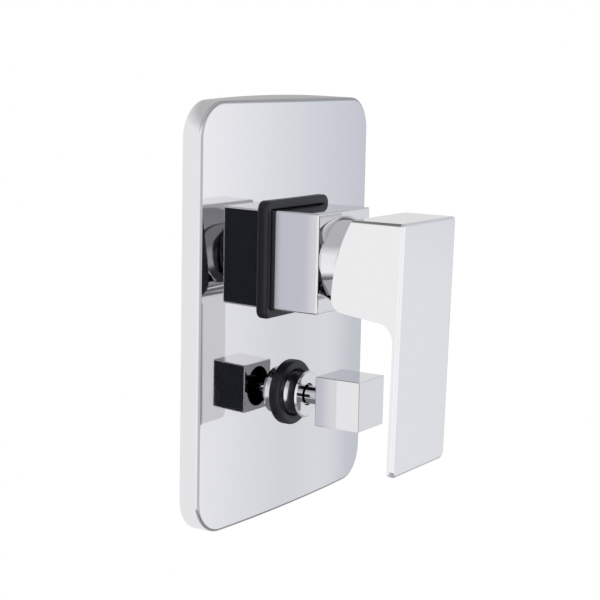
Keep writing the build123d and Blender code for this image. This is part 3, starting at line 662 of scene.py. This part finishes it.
upper_walls = walls([
    (-180, tint(0.92, 0.02)),
    (-60, tint(0.90, 0.03)),
    (0, tint(0.94, 0.03)),
    (46, tint(0.93, 0.03)),
    (55, tint(0.82, 0.06)),
    (62, tint(0.74, 0.09)),
    (70, tint(0.66, 0.11)),
    (100, tint(0.68, 0.08)),
    (130, tint(0.88, 0.03)),
])
lower_walls = walls([
    (-180, tint(0.94, 0.02)),
    (0, tint(0.94, 0.03)),
    (45, tint(0.89, 0.04)),
    (51, tint(0.82, 0.05)),
    (57, tint(0.75, 0.06)),
    (61.5, tint(0.78, 0.05)),
    (64, tint(0.78, 0.05)),
    (67, tint(0.66, 0.10)),
    (75, tint(0.62, 0.11)),
    (130, tint(0.88, 0.03)),
])
below = spread(sky, degrees_up, *lower_wall_top, 1.0, 0.0)
overhead = spread(sky, degrees_up, *ceiling_start, 0.0, 1.0)
underfoot = spread(sky, degrees_up, *ground_start, 1.0, 0.0)
sides = blend(sky, below, upper_walls, lower_walls)
with_ceiling = blend(sky, overhead, sides, tint(0.50, 0.05))
room = blend(sky, underfoot, with_ceiling, tint(0.16, 0.05))
print("walls, ceiling and ground blended")

# %% [markdown]
# Two flats stand beside the camera, a grey one and a black one. The sleeve's left side mirrors the
# plate, which mirrors the grey flat. The black flat makes the deep sides that the plate mirrors.
# Both are almost clear in a first reflection and whole from the second on, since only what one
# piece mirrors of another needs them. Real chrome loses about a third of its light at each
# reflection, and this paler finish less. So the whole room gets darker from the second reflection
# on, and the gaps where light goes to and fro between two pieces end almost black. A real studio
# can't do either. It could only move its flats until the picture was right.
#
# A ray that comes to the walls has been counted once more than it was reflected.

# %% Flats beside the camera
light_kept = 0.88
loss_power = 3.0
flat_softness = 1.5
flat_in_first = 0.08


def window(value, low, high, soft):
    """1 between low and high, falling to 0 over the soft width outside them."""
    rise = spread(sky, value, low - soft, low, 0.0, 1.0)
    fall = spread(sky, value, high, high + soft, 1.0, 0.0)
    return math_node(sky, "MINIMUM", rise, fall)


def flat(base, colour, right, up, soft, share):
    """The base colour with a soft-edged rectangle of another over it, as strong as the share."""
    across = window(degrees_right, *right, soft)
    inside = math_node(sky, "MULTIPLY", across, window(degrees_up, *up, soft))
    return blend(sky, math_node(sky, "MULTIPLY", inside, share), base, colour)


def kept_light(tree, count):
    """The share kept after one loss, raised to the cube of the reflections after the first."""
    after_first = math_node(tree, "MAXIMUM", math_node(tree, "SUBTRACT", count, 1.0), 0.0)
    return math_node(tree, "POWER", light_kept, math_node(tree, "POWER", after_first, loss_power))


reflections = math_node(sky, "SUBTRACT", looks.outputs["Ray Depth"], 1.0)
mirrored = spread(sky, reflections, 1.0, 2.0, flat_in_first, 1.0)
with_grey = flat(room, tint(0.78, 0.11), (-65.5, -56), (-14, 20), flat_softness, mirrored)
with_black = flat(with_grey, tint(0.02, 0.3), (-60, -36), (-24, 8), flat_softness, mirrored)
studio = sky.nodes.new("ShaderNodeBackground")
sky.links.new(with_black, studio.inputs["Color"])
sky.links.new(kept_light(sky, reflections), studio.inputs["Strength"])
white = sky.nodes.new("ShaderNodeBackground")
white.inputs["Color"].default_value = (1.0, 1.0, 1.0, 1.0)
choice = sky.nodes.new("ShaderNodeMixShader")
sky.links.new(looks.outputs["Is Camera Ray"], choice.inputs["Fac"])
sky.links.new(studio.outputs["Background"], choice.inputs[1])
sky.links.new(white.outputs["Background"], choice.inputs[2])
output = sky.nodes.new("ShaderNodeOutputWorld")
sky.links.new(choice.outputs["Shader"], output.inputs["Surface"])
print("studio nodes", len(sky.nodes))

# %% [markdown]
# The mixer hangs on a wall. A white panel in the wall's plane stands for the tiles. The camera sees
# only a margin round the plate, enough to hide the valve body in the photograph's view, and from
# behind it is see-through. It glows evenly for the camera, so it takes no shadow, which is how the
# cut-out photograph shows the mixer. What it lends to the chrome is painted shade: a painted contact
# shadow darkens it from just below the plate's top upwards, more painted shade darkens it higher
# above the plate, and it darkens towards the right. A lit panel would need lamps of its own, and
# these would show in the chrome.
#
# A ray that comes to the panel has been counted as often as it was reflected.

# %% Wall panel
panel_reach = 200 * MM
panel_gap = 0.2 * MM
hidden_rim = 7 * MM
margin = 20 * MM
# The panel's painted shade, seen only in the chrome: a contact shadow at the plate's top, darker above
# it and to the right.
contact_shadow_depth = 9 * MM
contact_shadow_level = 0.58
top_start = 12 * MM
top_end = 40 * MM
top_level = 0.35
left_level = 0.86
right_level = 0.74
square = np.array([[-1, -1], [1, -1], [1, 1], [-1, 1]])
panel_hole = square * [plate_half_width - hidden_rim, plate_half_height - hidden_rim]
panel_points = np.vstack([square * panel_reach, panel_hole])
panel_points = np.column_stack([panel_points[:, 0], np.full(8, panel_gap), panel_points[:, 1]])
panel_faces = [[i, (i + 1) % 4, (i + 1) % 4 + 4, i + 4] for i in range(4)]
panel = mesh_object("wall_panel", panel_points, panel_faces)
panel_finish = bpy.data.materials.new("wall panel")
panel_finish.use_nodes = True
wall = panel_finish.node_tree
wall.nodes.clear()
wall_place = wall.nodes.new("ShaderNodeSeparateXYZ")
wall.links.new(wall.nodes.new("ShaderNodeTexCoord").outputs["Object"], wall_place.inputs["Vector"])
wall_height = wall_place.outputs["Z"]
wall_across = wall_place.outputs["X"]
plate_top = plate_half_height
beside = spread(wall, wall_across, -plate_half_width, plate_half_width, left_level, right_level)
# Painted contact shadow: darker from just below the plate's top upwards.
painted_contact_shadow = spread(wall, wall_height, plate_top - contact_shadow_depth, plate_top, 1.0, contact_shadow_level)
above = spread(wall, wall_height, plate_top + top_start, plate_top + top_end, 1.0, top_level)
# All the painted shade together.
painted_shade = math_node(wall, "MULTIPLY", math_node(wall, "MULTIPLY", painted_contact_shadow, above), beside)
rays = wall.nodes.new("ShaderNodeLightPath")
lent = math_node(wall, "MULTIPLY", painted_shade, kept_light(wall, rays.outputs["Ray Depth"]))
glow = wall.nodes.new("ShaderNodeEmission")
wall.links.new(math_node(wall, "MAXIMUM", rays.outputs["Is Camera Ray"], lent), glow.inputs["Strength"])
clear = wall.nodes.new("ShaderNodeBsdfTransparent")
side = wall.nodes.new("ShaderNodeNewGeometry")
off_centre = math_node(wall, "ABSOLUTE", wall_across)
off_middle = math_node(wall, "ABSOLUTE", wall_height)
past_side = math_node(wall, "GREATER_THAN", off_centre, plate_half_width + margin)
past_end = math_node(wall, "GREATER_THAN", off_middle, plate_half_height + margin)
past_either = math_node(wall, "MAXIMUM", past_side, past_end)
past_margin = math_node(wall, "MULTIPLY", past_either, rays.outputs["Is Camera Ray"])
see_through = math_node(wall, "MAXIMUM", side.outputs["Backfacing"], past_margin)
one_sided = wall.nodes.new("ShaderNodeMixShader")
wall.links.new(see_through, one_sided.inputs["Fac"])
wall.links.new(glow.outputs["Emission"], one_sided.inputs[1])
wall.links.new(clear.outputs["BSDF"], one_sided.inputs[2])
wall_output = wall.nodes.new("ShaderNodeOutputMaterial")
wall.links.new(one_sided.outputs["Shader"], wall_output.inputs["Surface"])
panel.data.materials.append(panel_finish)
print("wall panel shown", margin, "past the plate")

# %% [markdown]
# The floor is a plain pale sheet, well below the mixer. Its light and the object's shadow on it come
# from the studio. A paler floor would light the undersides too much, so it is lifted to the
# background's white by a little glow that only the camera sees.

# %% Floor
floor_half = 600 * MM
floor_z = -600 * MM
floor_glow = 0.55
floor_points = np.column_stack([square * floor_half, np.full(4, floor_z)])
floor = mesh_object("floor", floor_points, [[0, 1, 2, 3]])
floor_finish = finish("floor", (0.82, 0.82, 0.82), 0.0, 0.7, 0.05, 40 * MM, 0.2 * MM)
floor_tree = floor_finish.node_tree
floor_rays = floor_tree.nodes.new("ShaderNodeLightPath")
floor_shader = floor_tree.nodes["Principled BSDF"]
floor_shader.inputs["Emission Color"].default_value = (1.0, 1.0, 1.0, 1.0)
lift_to_white = math_node(floor_tree, "MULTIPLY", floor_rays.outputs["Is Camera Ray"], floor_glow)
floor_tree.links.new(lift_to_white, floor_shader.inputs["Emission Strength"])
floor.data.materials.append(floor_finish)
print("floor", 2 * floor_half, "wide at", floor_z)

# %% Finish
scene.view_settings.view_transform = "Standard"
